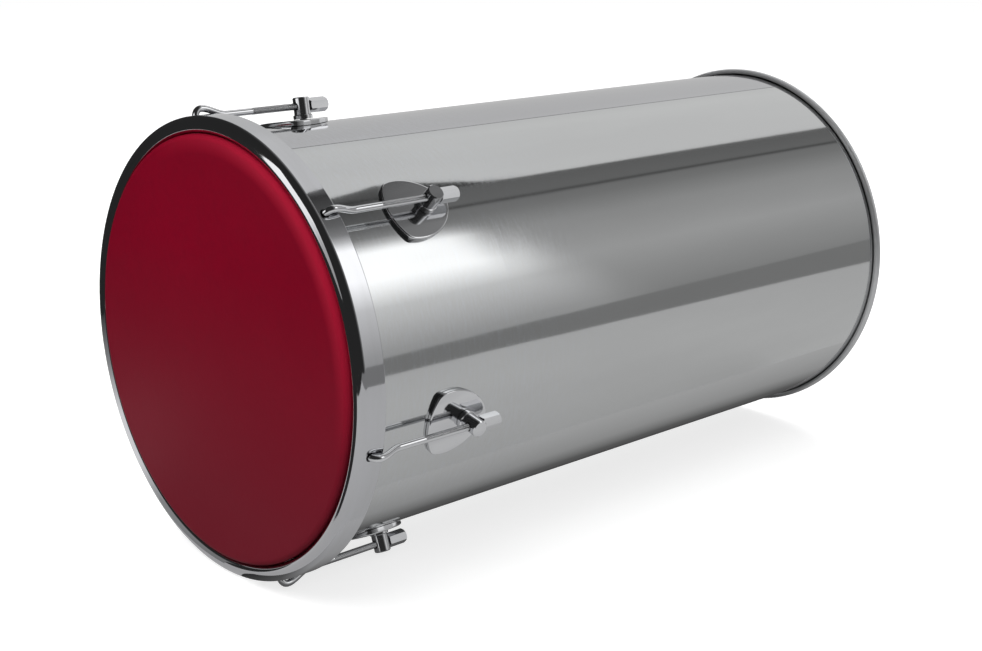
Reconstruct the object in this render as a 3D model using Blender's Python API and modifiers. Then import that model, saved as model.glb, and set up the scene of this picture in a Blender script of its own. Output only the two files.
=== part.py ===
"""Rebolo: a long aluminium hand drum with one napa head, lying on its side.

Row frame: Y runs along the drum, the head faces -Y and the open end faces +Y. Z is up,
the floor touches the tension hoop at z = 0. Lengths along the drum are written as s,
counted from the hoop's front plane towards the rear, and r is the distance from the axis.
"""
import math

import bmesh
import bpy
from mathutils import Matrix, Vector

MM = 0.001

# Driving sizes.
SHELL_R = 150.0 * MM
SHELL_WALL = 1.4 * MM
DRUM_LENGTH = 572.0 * MM
GAP = 0.3 * MM
RING_STEPS = 60
RING_EDGE = 0.5 * MM

# Napa head: a flat skin with a rounded shoulder and a collar.
SKIN = 1.1 * MM
SKIN_ROOM = 0.5 * MM
HEAD_FRONT = -2.5 * MM
HEAD_R = SHELL_R + SKIN_ROOM + SKIN
SHOULDER_STEPS = 3

# Front bearing edge of the shell, rolled inwards, right behind the skin. It shapes the head's shoulder.
BEARING_ROLL_R = 3.6 * MM
BEARING_FRONT = HEAD_FRONT + SKIN + GAP
BEARING_STEPS = 6
HEAD_SHOULDER = BEARING_ROLL_R + SKIN_ROOM + SKIN

# Tension hoop: a rolled front edge and a flat band with hook holes, outside the flesh hoop.
FLESH_WIDTH = 9.6 * MM
HOOP_BAND = 2.2 * MM
HOOP_R = HEAD_R + GAP + FLESH_WIDTH + GAP + HOOP_BAND
HOOP_ROOM = 0.4 * MM
HOOP_ROLL_R = 0.5 * (HOOP_R - HEAD_R - HOOP_ROOM)
HOOP_FRONT = -3.6 * MM
HOOP_WIDTH = 20.6 * MM
HOOP_ROLL_WIDTH = 14.2 * MM
HOOP_ROLL_BACK = HOOP_FRONT + HOOP_ROLL_WIDTH
HOOP_BACK = HOOP_FRONT + HOOP_WIDTH
HOOP_ROLL_STEPS = 7

# Flesh hoop, the ring that the tension hoop presses back over the skin's collar.
FLESH_CHAMFER = 1.2 * MM
FLESH_FRONT = HOOP_ROLL_BACK + GAP
FLESH_LENGTH = 5.9 * MM
FLESH_BACK = FLESH_FRONT + FLESH_LENGTH
COLLAR_SHORT = 0.2 * MM
HEAD_COLLAR_END = FLESH_BACK - COLLAR_SHORT

# Rear edge, curled outwards over a wire.
CURL_MID_R = 3.2 * MM
CURL_SWEEP = math.radians(285.0)
CURL_FLAT = 2.0 * MM
CURL_STEPS = 7
WIRE_SIDES = 6

# Lengthwise seam of the rolled sheet.
SEAM_ANGLE = math.radians(17.0)
SEAM_WIDTH = 0.5 * MM
SEAM_DEPTH = 0.25 * MM
SEAM_FRONT_MARGIN = 5.0 * MM
SEAM_BACK_MARGIN = 12.0 * MM
SEAM_FRONT = HOOP_BACK + SEAM_FRONT_MARGIN
SEAM_BACK = DRUM_LENGTH - SEAM_BACK_MARGIN

# Lugs round the shell, as degrees from the top towards +X, at the places that the picture shows.
LUG_ANGLES = (-10.0, 46.0, 103.0, 160.0, -137.0, -74.0)
LUG_S = 96.0 * MM

# Lug plate: three corner circles joined by bulged sides.
PLATE_THICK = 2.6 * MM
PLATE_CORNER_U = 15.8 * MM
PLATE_FRONT_REACH = 20.0 * MM
PLATE_CORNER_S = LUG_S - PLATE_FRONT_REACH
PLATE_CORNER_R = 7.0 * MM
PLATE_BACK_REACH = 11.5 * MM
PLATE_APEX_S = LUG_S + PLATE_BACK_REACH
PLATE_APEX_R = 8.0 * MM
PLATE_BULGE_R = 36.0 * MM
PLATE_EDGE = 1.0 * MM
PLATE_SLICE = 9.0 * MM
PLATE_BASE_R = SHELL_R + GAP
CORNER_STEPS = 2
SIDE_STEPS = 4

# Tension rod: one bent wire, thicker where it is threaded, a little lower than the hoop's outside.
ROD_R = 2.4 * MM
ROD_THREAD_R = 2.75 * MM
ROD_DROP = 1.4 * MM
ROD_AXIS_R = HOOP_R - ROD_DROP
ROD_THREAD_AHEAD = 44.0 * MM
ROD_THREAD_S = LUG_S - ROD_THREAD_AHEAD
ROD_STEP = 0.4 * MM
HOOK_SET = 10.2 * MM
HOOK_S = HOOP_FRONT + HOOK_SET
HOOK_BEND_R = 4.0 * MM
HOOK_REACH = 5.3 * MM
HOOK_ROOM = 0.9 * MM
HOOK_TIP_R = HOOP_R - HOOK_REACH
HOOK_HOLE_R = ROD_R + HOOK_ROOM
HOOK_HOLE_BOTTOM = HOOK_TIP_R - HOOK_ROOM
HOOK_BEND_STEPS = 3
BEND_CLEAR = 0.5 * MM
BEND_START_S = HOOP_BACK + BEND_CLEAR
BEND_RUN = 16.0 * MM
BEND_STEPS = 5
ROD_BEVEL_RESOLUTION = 2

# Lug post with its cross hole and nut seat.
POST_R = 6.0 * MM
POST_OVER = 6.4 * MM
POST_BASE_R = PLATE_BASE_R + PLATE_THICK + GAP
POST_END_R = ROD_AXIS_R + POST_OVER
POST_CHAMFER = 0.7 * MM
POST_FOOT_FLANGE = 1.0 * MM
POST_FOOT_R = POST_R + POST_FOOT_FLANGE
POST_FOOT_H = 2.6 * MM
POST_HOLE_ROOM = 0.35 * MM
POST_HOLE_R = ROD_THREAD_R + POST_HOLE_ROOM
POST_SEAT_CUT = 0.8 * MM
POST_SEAT = POST_R - POST_SEAT_CUT
POST_FLOOR = 0.6 * MM
POST_BORE_TOP = ROD_AXIS_R - POST_HOLE_R - POST_FLOOR
POST_SIDES = 16

# Cap nut behind the post. The rod's end stops short of the bore's end, so the hoop can be tuned.
NUT_FLATS = 9.5 * MM
NUT_FRONT_S = LUG_S + POST_SEAT + GAP
NUT_LENGTH = 15.6 * MM
NUT_BORE_DEPTH = 13.4 * MM
NUT_DOME_R = 3.1 * MM
NUT_DOME = 2.4 * MM
NUT_DOME_BEND = 0.55
NUT_CHAMFER = 0.5 * MM
NUT_DOME_SIDES = 12
ROD_SPARE = 3.9 * MM
ROD_END_S = NUT_FRONT_S + NUT_BORE_DEPTH - ROD_SPARE

# Screws and washers inside the shell.
SCREW_R = 2.5 * MM
SCREW_HEAD_R = 4.6 * MM
SCREW_HEAD_H = 2.7 * MM
SCREW_CROWN = 0.8 * MM
SCREW_SPARE = 0.5 * MM
SCREW_TIP_R = POST_BORE_TOP - SCREW_SPARE
SCREW_SLOT = 1.2 * MM
SCREW_SLOT_DEPTH = 1.2 * MM
WASHER_R = 6.0 * MM
WASHER_THICK = 1.2 * MM
SCREW_SIDES = 12

# Places in the row frame.
FRONT_MOST = min(HEAD_FRONT, HOOP_FRONT)
MIDDLE_S = 0.5 * (FRONT_MOST + DRUM_LENGTH)
AXIS_Z = HOOP_R
CUT_OVER = 2.0 * MM
WELD = 0.00001
SHARP_ANGLE = math.radians(32.0)
FLAT_ANGLE = math.radians(1.0)


def clear_scene():
    for ob in list(bpy.data.objects):
        bpy.data.objects.remove(ob, do_unlink=True)


def make_collection(name):
    coll = bpy.data.collections.new(name)
    bpy.context.scene.collection.children.link(coll)
    return coll


def make_material(name, colour, metallic, roughness):
    mat = bpy.data.materials.new(name)
    mat.use_nodes = True
    shader = mat.node_tree.nodes["Principled BSDF"]
    shader.inputs["Base Color"].default_value = (*colour, 1.0)
    shader.inputs["Metallic"].default_value = metallic
    shader.inputs["Roughness"].default_value = roughness
    mat.diffuse_color = (*colour, 1.0)
    return mat


def add_object(name, mesh, coll, mat=None):
    ob = bpy.data.objects.new(name, mesh)
    coll.objects.link(ob)
    if mat is not None:
        mesh.materials.clear()
        mesh.materials.append(mat)
    return ob


def add_six(name, mesh, coll, mat, point):
    """One object for each lug, all with this mesh and with their origins at point."""
    shade(mesh)
    for k, degrees in enumerate(LUG_ANGLES):
        ob = add_object(f"{name}_{k + 1}", mesh, coll, mat)
        ob.matrix_world = lug_frame(degrees) @ Matrix.Translation(Vector(point))


def add_cutter(name, mesh, coll):
    ob = add_object(name, mesh, coll)
    ob.hide_render = True
    ob.display_type = "WIRE"
    return ob


def mesh_from_bmesh(name, bm):
    bmesh.ops.recalc_face_normals(bm, faces=bm.faces)
    mesh = bpy.data.meshes.new(name)
    bm.to_mesh(mesh)
    bm.free()
    return mesh


def shade(mesh):
    mesh.shade_smooth()
    mesh.set_sharp_from_angle(angle=SHARP_ANGLE)


def cut(target, cutter, operation="DIFFERENCE"):
    mod = target.modifiers.new(cutter.name, "BOOLEAN")
    mod.operation = operation
    mod.solver = "EXACT"
    mod.object = cutter


def evaluated_mesh(ob):
    """The object's mesh with its modifiers, closed along welded seams. The object is removed."""
    bpy.context.view_layer.update()
    deps = bpy.context.evaluated_depsgraph_get()
    mesh = bpy.data.meshes.new_from_object(ob.evaluated_get(deps), depsgraph=deps)
    bpy.data.objects.remove(ob, do_unlink=True)
    bm = bmesh.new()
    bm.from_mesh(mesh)
    bmesh.ops.remove_doubles(bm, verts=bm.verts, dist=WELD)
    bm.to_mesh(mesh)
    bm.free()
    return mesh


def drum_y(s):
    return s - MIDDLE_S


def arc(centre, radius, start, sweep, steps):
    """Points (r, s) on an arc; the angle is counted from +r towards +s."""
    points = []
    for k in range(steps + 1):
        a = start + sweep * k / steps
        points.append((centre[0] + radius * math.cos(a), centre[1] + radius * math.sin(a)))
    return points


def turned_mesh(name, profile, steps, closed=False):
    """Turn an (r, z) profile about Z with a Screw modifier; it runs down its outer side."""
    outline = bpy.data.meshes.new(name)
    edges = [(k, k + 1) for k in range(len(profile) - 1)]
    if closed:
        edges.append((len(profile) - 1, 0))
    outline.from_pydata([(r, 0.0, z) for r, z in profile], edges, [])
    ob = add_object(name, outline, bpy.context.scene.collection)
    mod = ob.modifiers.new("turn", "SCREW")
    mod.axis = "Z"
    mod.angle = math.tau
    mod.steps = steps
    mod.render_steps = steps
    mod.use_merge_vertices = True
    mod.merge_threshold = WELD
    return evaluated_mesh(ob)


def revolve(name, profile, coll, mat, closed=True):
    """A ring or disc about the drum axis from an (r, s) profile, with its origin on the axis."""
    mesh = turned_mesh(name, [(r, -s) for r, s in profile], RING_STEPS, closed)
    shade(mesh)
    ob = add_object(name, mesh, coll, mat)
    ob.rotation_euler = (math.pi / 2, 0.0, 0.0)
    ob.location = (0.0, drum_y(0.0), AXIS_Z)
    return ob


def lug_frame(degrees):
    """Matrix of one lug: its x runs round the shell, y along the drum and z outwards."""
    turn = Matrix.Rotation(math.radians(degrees), 4, "Y")
    return Matrix.Translation((0.0, drum_y(0.0), AXIS_Z)) @ turn


def cylinder_mesh(name, radius, low, high, sides, axis="Z"):
    bm = bmesh.new()
    bmesh.ops.create_cone(bm, cap_ends=True, segments=sides, radius1=radius, radius2=radius,
                          depth=high - low)
    bmesh.ops.translate(bm, verts=bm.verts, vec=(0.0, 0.0, 0.5 * (low + high)))
    if axis == "Y":
        bmesh.ops.rotate(bm, verts=bm.verts, matrix=Matrix.Rotation(-math.pi / 2, 3, "X"))
    return mesh_from_bmesh(name, bm)


def box_mesh(name, low, high):
    bm = bmesh.new()
    bmesh.ops.create_cube(bm, size=1.0)
    size = [high[k] - low[k] for k in range(3)]
    bmesh.ops.scale(bm, verts=bm.verts, vec=size)
    bmesh.ops.translate(bm, verts=bm.verts, vec=[0.5 * (high[k] + low[k]) for k in range(3)])
    return mesh_from_bmesh(name, bm)


def joined_copies(name, mesh, transforms):
    """One mesh that holds a separate solid for each transform."""
    bm = bmesh.new()
    for matrix in transforms:
        part = bmesh.new()
        part.from_mesh(mesh)
        bmesh.ops.transform(part, matrix=matrix, verts=part.verts)
        scratch = bpy.data.meshes.new(name)
        part.to_mesh(scratch)
        part.free()
        bm.from_mesh(scratch)
        bpy.data.meshes.remove(scratch)
    return mesh_from_bmesh(name, bm)


# Shell, skin and hoops.

def shell_profile():
    inner_r = SHELL_R - SHELL_WALL
    roll_centre = (SHELL_R - BEARING_ROLL_R, BEARING_FRONT + BEARING_ROLL_R)
    reach = inner_r - roll_centre[0]
    join = math.acos(reach / BEARING_ROLL_R)
    roll = arc(roll_centre, BEARING_ROLL_R, join, 2 * math.pi - join, BEARING_STEPS)
    curl_centre = (SHELL_R - 0.5 * SHELL_WALL + CURL_MID_R, DRUM_LENGTH - CURL_MID_R - 0.5 * SHELL_WALL)
    hollow_r = CURL_MID_R - 0.5 * SHELL_WALL
    outer_r = CURL_MID_R + 0.5 * SHELL_WALL
    hollow = arc(curl_centre, hollow_r, math.pi, -CURL_SWEEP, CURL_STEPS)
    half_flat = math.asin(0.5 * CURL_FLAT / outer_r)
    rear = outer_r * math.cos(half_flat)
    lip_to_flat = CURL_SWEEP - math.pi / 2 - half_flat
    outside = arc(curl_centre, outer_r, math.pi - CURL_SWEEP, lip_to_flat, CURL_STEPS - 2)
    outside += arc(curl_centre, outer_r, math.pi / 2 + half_flat, math.pi / 2 - half_flat, 3)
    shift = outer_r - rear
    profile = roll + [(p, q + shift) for p, q in hollow + outside]
    return profile, (curl_centre[0], curl_centre[1] + shift), hollow_r


def build_shell(coll, cutters, mat):
    profile, curl_centre, hollow_r = shell_profile()
    shell = revolve("shell", profile, coll, mat)
    hole = cylinder_mesh("screw_hole", SCREW_R + GAP, SHELL_R - SHELL_WALL - CUT_OVER,
                         SHELL_R + CUT_OVER, SCREW_SIDES)
    holes = joined_copies("screw_holes", hole,
                          [lug_frame(d) @ Matrix.Translation((0, LUG_S, 0)) for d in LUG_ANGLES])
    cut(shell, add_cutter("screw_holes", holes, cutters))
    half = 0.5 * SEAM_WIDTH
    groove = box_mesh("seam_groove", (-half, SEAM_FRONT, SHELL_R - SEAM_DEPTH),
                      (half, SEAM_BACK, SHELL_R + CUT_OVER))
    seam = add_cutter("seam_groove", groove, cutters)
    seam.matrix_world = lug_frame(math.degrees(SEAM_ANGLE))
    cut(shell, seam)
    wire = arc(curl_centre, hollow_r - GAP, 0.0, math.tau, WIRE_SIDES)[:-1]
    return shell, wire


def head_profile():
    centre = (HEAD_R - HEAD_SHOULDER, HEAD_FRONT + HEAD_SHOULDER)
    outside = [(0.0, HEAD_FRONT)]
    outside += arc(centre, HEAD_SHOULDER, -math.pi / 2, math.pi / 2, SHOULDER_STEPS)
    outside.append((HEAD_R, HEAD_COLLAR_END))
    inside = [(HEAD_R - SKIN, HEAD_COLLAR_END)]
    inside += arc(centre, HEAD_SHOULDER - SKIN, 0.0, -math.pi / 2, SHOULDER_STEPS)
    inside.append((0.0, HEAD_FRONT + SKIN))
    return outside + inside


def hoop_profile():
    roll_r = HOOP_R - HOOP_ROLL_R
    centre = (roll_r, HOOP_FRONT + HOOP_ROLL_R)
    profile = arc(centre, HOOP_ROLL_R, math.pi, math.pi, HOOP_ROLL_STEPS)
    profile += [(HOOP_R, HOOP_BACK - RING_EDGE), (HOOP_R - RING_EDGE, HOOP_BACK)]
    profile += [(HOOP_R - HOOP_BAND + RING_EDGE, HOOP_BACK)]
    profile += [(HOOP_R - HOOP_BAND, HOOP_BACK - RING_EDGE)]
    profile += [(HOOP_R - HOOP_BAND, HOOP_ROLL_BACK)]
    profile += [(roll_r - HOOP_ROLL_R + RING_EDGE, HOOP_ROLL_BACK)]
    profile += [(roll_r - HOOP_ROLL_R, HOOP_ROLL_BACK - RING_EDGE)]
    return profile


def build_hoop(coll, cutters, mat):
    hoop = revolve("tension_hoop", hoop_profile(), coll, mat)
    hole = cylinder_mesh("hook_hole", HOOK_HOLE_R, HOOK_HOLE_BOTTOM, HOOP_R + CUT_OVER, SCREW_SIDES)
    holes = joined_copies("hook_holes", hole,
                          [lug_frame(d) @ Matrix.Translation((0, HOOK_S, 0)) for d in LUG_ANGLES])
    cut(hoop, add_cutter("hook_holes", holes, cutters))
    return hoop


def flesh_profile():
    inner = HEAD_R + GAP
    outer = HOOP_R - HOOP_BAND - GAP
    c = FLESH_CHAMFER
    return [(inner, FLESH_FRONT), (outer - c, FLESH_FRONT), (outer, FLESH_FRONT + c),
            (outer, FLESH_BACK - c), (outer - c, FLESH_BACK), (inner, FLESH_BACK)]


# Lug plate.

def bulge_centre(first, second, radius):
    """Centre of the circle of this radius that holds two corner circles from the inside."""
    a = Vector(first[:2])
    b = Vector(second[:2])
    reach_a = radius - first[2]
    reach_b = radius - second[2]
    span = (b - a).length
    along = (span * span + reach_a * reach_a - reach_b * reach_b) / (2 * span)
    side = math.sqrt(reach_a * reach_a - along * along)
    direction = (b - a) / span
    inward = Vector((-direction.y, direction.x))
    return a + direction * along + inward * side


def plate_outline():
    """Points (u, s) of the plate, counter-clockwise: front corners, then the apex at the rear."""
    corners = [(-PLATE_CORNER_U, PLATE_CORNER_S, PLATE_CORNER_R),
               (PLATE_CORNER_U, PLATE_CORNER_S, PLATE_CORNER_R),
               (0.0, PLATE_APEX_S, PLATE_APEX_R)]
    centres = [bulge_centre(corners[k], corners[(k + 1) % 3], PLATE_BULGE_R) for k in range(3)]
    points = []
    for k, (u, s, radius) in enumerate(corners):
        corner = Vector((u, s))
        before = centres[k - 1]
        after = centres[k]
        start = (corner - before).angle_signed(Vector((1, 0)))
        end = (corner - after).angle_signed(Vector((1, 0)))
        points += sweep_points(corner, radius, start, end, CORNER_STEPS, True)
        following = Vector(corners[(k + 1) % 3][:2])
        stop = (following - after).angle_signed(Vector((1, 0)))
        points += sweep_points(after, PLATE_BULGE_R, end, stop, SIDE_STEPS, False)
    return points


def sweep_points(centre, radius, start, end, steps, with_ends):
    turn = (end - start) % math.tau
    picked = range(steps + 1) if with_ends else range(1, steps)
    points = []
    for k in picked:
        a = start + turn * k / steps
        points.append((centre.x + radius * math.cos(a), centre.y + radius * math.sin(a)))
    return points


def plate_mesh():
    """The plate in its lug's frame, bent to the shell, with the origin at the foot of the post."""
    curve = bpy.data.curves.new("plate_outline", "CURVE")
    curve.dimensions = "2D"
    curve.fill_mode = "BOTH"
    curve.extrude = 0.5 * PLATE_THICK
    outline = plate_outline()
    spline = curve.splines.new("POLY")
    spline.points.add(len(outline) - 1)
    for point, (u, s) in zip(spline.points, outline):
        point.co = (u, s - LUG_S, 0.0, 1.0)
    spline.use_cyclic_u = True
    blank = add_object("plate_outline", curve, bpy.context.scene.collection)
    flat = evaluated_mesh(blank)
    bm = bmesh.new()
    bm.from_mesh(flat)
    bmesh.ops.dissolve_limit(bm, angle_limit=FLAT_ANGLE, verts=bm.verts, edges=bm.edges)
    top = 0.5 * PLATE_THICK - WELD
    rim = [e for e in bm.edges if min(v.co.z for v in e.verts) > top and e.calc_face_angle(0) > 1]
    bmesh.ops.bevel(bm, geom=rim, offset=PLATE_EDGE, segments=2, profile=0.5, affect="EDGES")
    slices = math.ceil(PLATE_CORNER_U / PLATE_SLICE)
    for k in range(-slices, slices + 1):
        bmesh.ops.bisect_plane(bm, geom=bm.verts[:] + bm.edges[:] + bm.faces[:], dist=WELD,
                               plane_co=(k * PLATE_SLICE, 0.0, 0.0), plane_no=(1.0, 0.0, 0.0))
    for v in bm.verts:
        a = v.co.x / PLATE_BASE_R
        radius = PLATE_BASE_R + v.co.z + 0.5 * PLATE_THICK
        v.co = Vector((radius * math.sin(a), v.co.y, radius * math.cos(a) - PLATE_BASE_R))
    bmesh.ops.triangulate(bm, faces=bm.faces)
    return mesh_from_bmesh("lug_plate", bm)


def build_plates(coll, cutters, mat):
    plain = add_cutter("plate_blank", plate_mesh(), cutters)
    bore = add_cutter("plate_bore", cylinder_mesh("plate_bore", SCREW_R + GAP, -CUT_OVER,
                                                  PLATE_THICK + CUT_OVER, SCREW_SIDES), cutters)
    cut(plain, bore)
    add_six("lug_plate", evaluated_mesh(plain), coll, mat, (0.0, LUG_S, PLATE_BASE_R))


# Lug post.

def build_posts(coll, cutters, mat):
    end = POST_END_R - POST_BASE_R
    c = POST_CHAMFER
    profile = [(0.0, end), (POST_R - c, end), (POST_R, end - c), (POST_R, POST_FOOT_H + c),
               (POST_FOOT_R, POST_FOOT_H), (POST_FOOT_R, 0.0), (0.0, 0.0)]
    blank = add_cutter("post_blank", turned_mesh("post_blank", profile, POST_SIDES), cutters)
    rod_z = ROD_AXIS_R - POST_BASE_R
    hole_mesh = cylinder_mesh("post_hole", POST_HOLE_R, -2 * POST_R, 2 * POST_R, SCREW_SIDES, "Y")
    hole = add_cutter("post_hole", hole_mesh, cutters)
    hole.location = (0.0, 0.0, rod_z)
    seat_low = rod_z - 0.5 * NUT_FLATS - c
    seat = add_cutter("post_seat", box_mesh("post_seat", (-2 * POST_R, POST_SEAT, seat_low),
                                            (2 * POST_R, 2 * POST_R, end + CUT_OVER)), cutters)
    bore = add_cutter("post_bore", cylinder_mesh("post_bore", SCREW_R + GAP, -CUT_OVER,
                                                 POST_BORE_TOP - POST_BASE_R, SCREW_SIDES), cutters)
    for cutter in (seat, hole, bore):
        cut(blank, cutter)
    add_six("lug_post", evaluated_mesh(blank), coll, mat, (0.0, LUG_S, POST_BASE_R))


# Tension rod, the bent wire with the threaded end.

def smooth_step(t):
    return t * t * (3.0 - 2.0 * t)


def rod_path():
    """Centre line (s, r, thickness) from the hook's tip to the threaded end."""
    over_r = HOOP_R + GAP + ROD_R
    bend_r = over_r - HOOK_BEND_R
    path = [(HOOK_S, HOOK_TIP_R, 1.0)]
    for k in range(HOOK_BEND_STEPS + 1):
        a = 0.5 * math.pi * k / HOOK_BEND_STEPS
        s = HOOK_S + HOOK_BEND_R * (1.0 - math.cos(a))
        path.append((s, bend_r + HOOK_BEND_R * math.sin(a), 1.0))
    for k in range(BEND_STEPS + 1):
        t = k / BEND_STEPS
        s = BEND_START_S + BEND_RUN * t
        path.append((s, over_r + (ROD_AXIS_R - over_r) * smooth_step(t), 1.0))
    thick = ROD_THREAD_R / ROD_R
    path.append((ROD_THREAD_S - ROD_STEP, ROD_AXIS_R, 1.0))
    path.append((ROD_THREAD_S, ROD_AXIS_R, thick))
    path.append((ROD_END_S - ROD_STEP, ROD_AXIS_R, thick))
    path.append((ROD_END_S, ROD_AXIS_R, 1.0))
    return path


def rod_mesh():
    """The rod as one swept wire, with its origin on the rod axis beside the post."""
    curve = bpy.data.curves.new("rod_wire", "CURVE")
    curve.dimensions = "3D"
    curve.bevel_depth = ROD_R
    curve.bevel_resolution = ROD_BEVEL_RESOLUTION
    curve.use_fill_caps = True
    curve.twist_mode = "Z_UP"
    path = rod_path()
    spline = curve.splines.new("POLY")
    spline.points.add(len(path) - 1)
    for point, (s, r, thickness) in zip(spline.points, path):
        point.co = (0.0, s - LUG_S, r - ROD_AXIS_R, 1.0)
        point.radius = thickness
    return evaluated_mesh(add_object("rod_wire", curve, bpy.context.scene.collection))


def build_rods(coll, mat):
    add_six("tension_rod", rod_mesh(), coll, mat, (0.0, LUG_S, ROD_AXIS_R))


# Cap nut, turned on the rod axis behind the post.

def build_nuts(coll, cutters, mat):
    corner_r = 0.5 * NUT_FLATS / math.cos(math.pi / 6)
    hexagon = cylinder_mesh("nut_blank", corner_r, 0.0, NUT_LENGTH, 6)
    blank = add_cutter("nut_blank", hexagon, cutters)
    dome_start = NUT_LENGTH - NUT_DOME
    outside = corner_r + NUT_CHAMFER
    profile = [(0.0, NUT_LENGTH), (NUT_DOME_R, NUT_LENGTH)]
    profile += [(0.5 * (NUT_DOME_R + corner_r) + NUT_CHAMFER, dome_start + NUT_DOME_BEND * NUT_DOME)]
    profile += [(outside, dome_start - NUT_CHAMFER), (outside, 2 * NUT_CHAMFER)]
    profile += [(corner_r - NUT_CHAMFER, 0.0), (0.0, 0.0)]
    shape = add_cutter("nut_shape", turned_mesh("nut_shape", profile, NUT_DOME_SIDES), cutters)
    bore = add_cutter("nut_bore", cylinder_mesh("nut_bore", ROD_THREAD_R + GAP, -CUT_OVER, NUT_BORE_DEPTH,
                                                SCREW_SIDES), cutters)
    cut(blank, shape, "INTERSECT")
    cut(blank, bore)
    nut = evaluated_mesh(blank)
    nut.transform(Matrix.Rotation(-math.pi / 2, 4, "X"))
    add_six("tension_nut", nut, coll, mat, (0.0, NUT_FRONT_S, ROD_AXIS_R))


# Screws and washers inside the shell.

def washer_top():
    """Highest r of a flat washer that keeps its gap under the shell's flats."""
    flat_r = (SHELL_R - SHELL_WALL) * math.cos(math.pi / RING_STEPS)
    return math.sqrt(flat_r * flat_r - WASHER_R * WASHER_R) - GAP


def build_fasteners(coll, cutters, mat):
    ring = add_cutter("washer_blank", cylinder_mesh("washer_blank", WASHER_R, -WASHER_THICK, 0.0,
                                                    SCREW_SIDES), cutters)
    bore = add_cutter("washer_bore", cylinder_mesh("washer_bore", SCREW_R + GAP, -2 * WASHER_THICK,
                                                   WASHER_THICK, SCREW_SIDES), cutters)
    cut(ring, bore)
    top = washer_top()
    add_six("lug_washer", evaluated_mesh(ring), coll, mat, (0.0, LUG_S, top))
    seat = top - WASHER_THICK - GAP
    tip = SCREW_TIP_R - seat
    low = -SCREW_HEAD_H
    profile = [(0.0, tip), (SCREW_R, tip), (SCREW_R, 0.0), (SCREW_HEAD_R, 0.0),
               (SCREW_HEAD_R, low + SCREW_CROWN), (SCREW_HEAD_R - 2 * SCREW_CROWN, low), (0.0, low)]
    blank = add_cutter("screw_blank", turned_mesh("screw_blank", profile, SCREW_SIDES), cutters)
    half = 0.5 * SCREW_SLOT
    slot = box_mesh("screw_slot", (-2 * SCREW_HEAD_R, -half, low - CUT_OVER),
                    (2 * SCREW_HEAD_R, half, low + SCREW_SLOT_DEPTH))
    cut(blank, add_cutter("screw_slot", slot, cutters))
    add_six("lug_screw", evaluated_mesh(blank), coll, mat, (0.0, LUG_S, seat))


def main():
    clear_scene()
    drum = make_collection("rebolo")
    cutters = make_collection("cutters")
    cutters.hide_render = True
    aluminium = make_material("polished_aluminium", (0.80, 0.81, 0.82), 1.0, 0.16)
    chrome = make_material("chromed_steel", (0.76, 0.77, 0.79), 1.0, 0.08)
    napa = make_material("red_napa", (0.32, 0.012, 0.03), 0.0, 0.45)
    steel = make_material("zinc_steel", (0.55, 0.56, 0.57), 1.0, 0.35)
    shell, wire_profile = build_shell(drum, cutters, aluminium)
    revolve("rear_edge_wire", wire_profile, drum, steel)
    revolve("drumhead", head_profile(), drum, napa, closed=False)
    build_hoop(drum, cutters, chrome)
    revolve("flesh_hoop", flesh_profile(), drum, aluminium)
    build_plates(drum, cutters, chrome)
    build_posts(drum, cutters, chrome)
    build_rods(drum, chrome)
    build_nuts(drum, cutters, chrome)
    build_fasteners(drum, cutters, steel)


main()
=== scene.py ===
"""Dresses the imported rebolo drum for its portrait: fine turned metal, a grained red head,
real threads on the rods, a plain pale floor and soft studio light."""
import math

import bmesh
import bpy
from mathutils import Matrix, Vector


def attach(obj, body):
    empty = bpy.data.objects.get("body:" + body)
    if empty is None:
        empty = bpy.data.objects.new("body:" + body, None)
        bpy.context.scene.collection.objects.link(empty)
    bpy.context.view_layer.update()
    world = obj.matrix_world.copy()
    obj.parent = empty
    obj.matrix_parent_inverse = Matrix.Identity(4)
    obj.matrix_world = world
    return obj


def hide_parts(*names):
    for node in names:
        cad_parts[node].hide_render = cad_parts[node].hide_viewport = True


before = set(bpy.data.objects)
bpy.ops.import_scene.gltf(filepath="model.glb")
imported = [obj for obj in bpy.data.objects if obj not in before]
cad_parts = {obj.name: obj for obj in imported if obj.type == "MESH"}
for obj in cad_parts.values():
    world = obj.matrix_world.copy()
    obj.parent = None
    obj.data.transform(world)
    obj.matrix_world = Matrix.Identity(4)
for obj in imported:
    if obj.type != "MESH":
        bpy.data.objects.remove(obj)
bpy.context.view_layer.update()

# Sizes are in mm, angles in degrees and CAMERA_PLACE in metres. s counts along the drum from the
# shell's front, r from the drum's axis.

MM = 0.001
DRUM_LENGTH = 572.0
SHELL_R = 150.0
SHELL_WALL = 1.4
GAP = 0.3
SKIN = 1.1
SKIN_ROOM = 0.5
HEAD_FRONT = -2.5
HEAD_R = SHELL_R + SKIN_ROOM + SKIN
HEAD_BACK = 16.55
BEARING_ROLL_R = 3.6
CURL_MID_R = 2.3
SEAM_DEGREES = 17.0
HOOP_R = 164.0
HOOP_FRONT = -3.6
HOOP_BAND = 2.2
HOOP_ROLL_R = 6.0
HOOP_ROLL_BACK = 10.6
HOOP_BACK = 17.0
HOOK_S = 6.6
HOOK_HOLE_R = 3.3
LUGS = (-10.0, 46.0, 103.0, 160.0, -137.0, -74.0)
LUG_S = 96.0
PLATE_THICK = 2.6
PLATE_BULGE_R = 36.0
PLATE_FLATTER = 0.002
POST_R = 6.0
SEAT_S = 5.2
NUT_FLATS = 9.5
ROD_R = 2.4
ROD_AXIS_R = HOOP_R - 1.4
THREAD_START = 52.0
THREAD_END = 111.0
AXIS_Z = HOOP_R
MIDDLE_S = 0.5 * (DRUM_LENGTH + HOOP_FRONT)
ROUND = 288
CAMERA_PLACE = (0.91434, -0.58051 - MIDDLE_S * MM, 0.47333)


def link(ob):
    bpy.context.scene.collection.objects.link(ob)
    return ob


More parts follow.
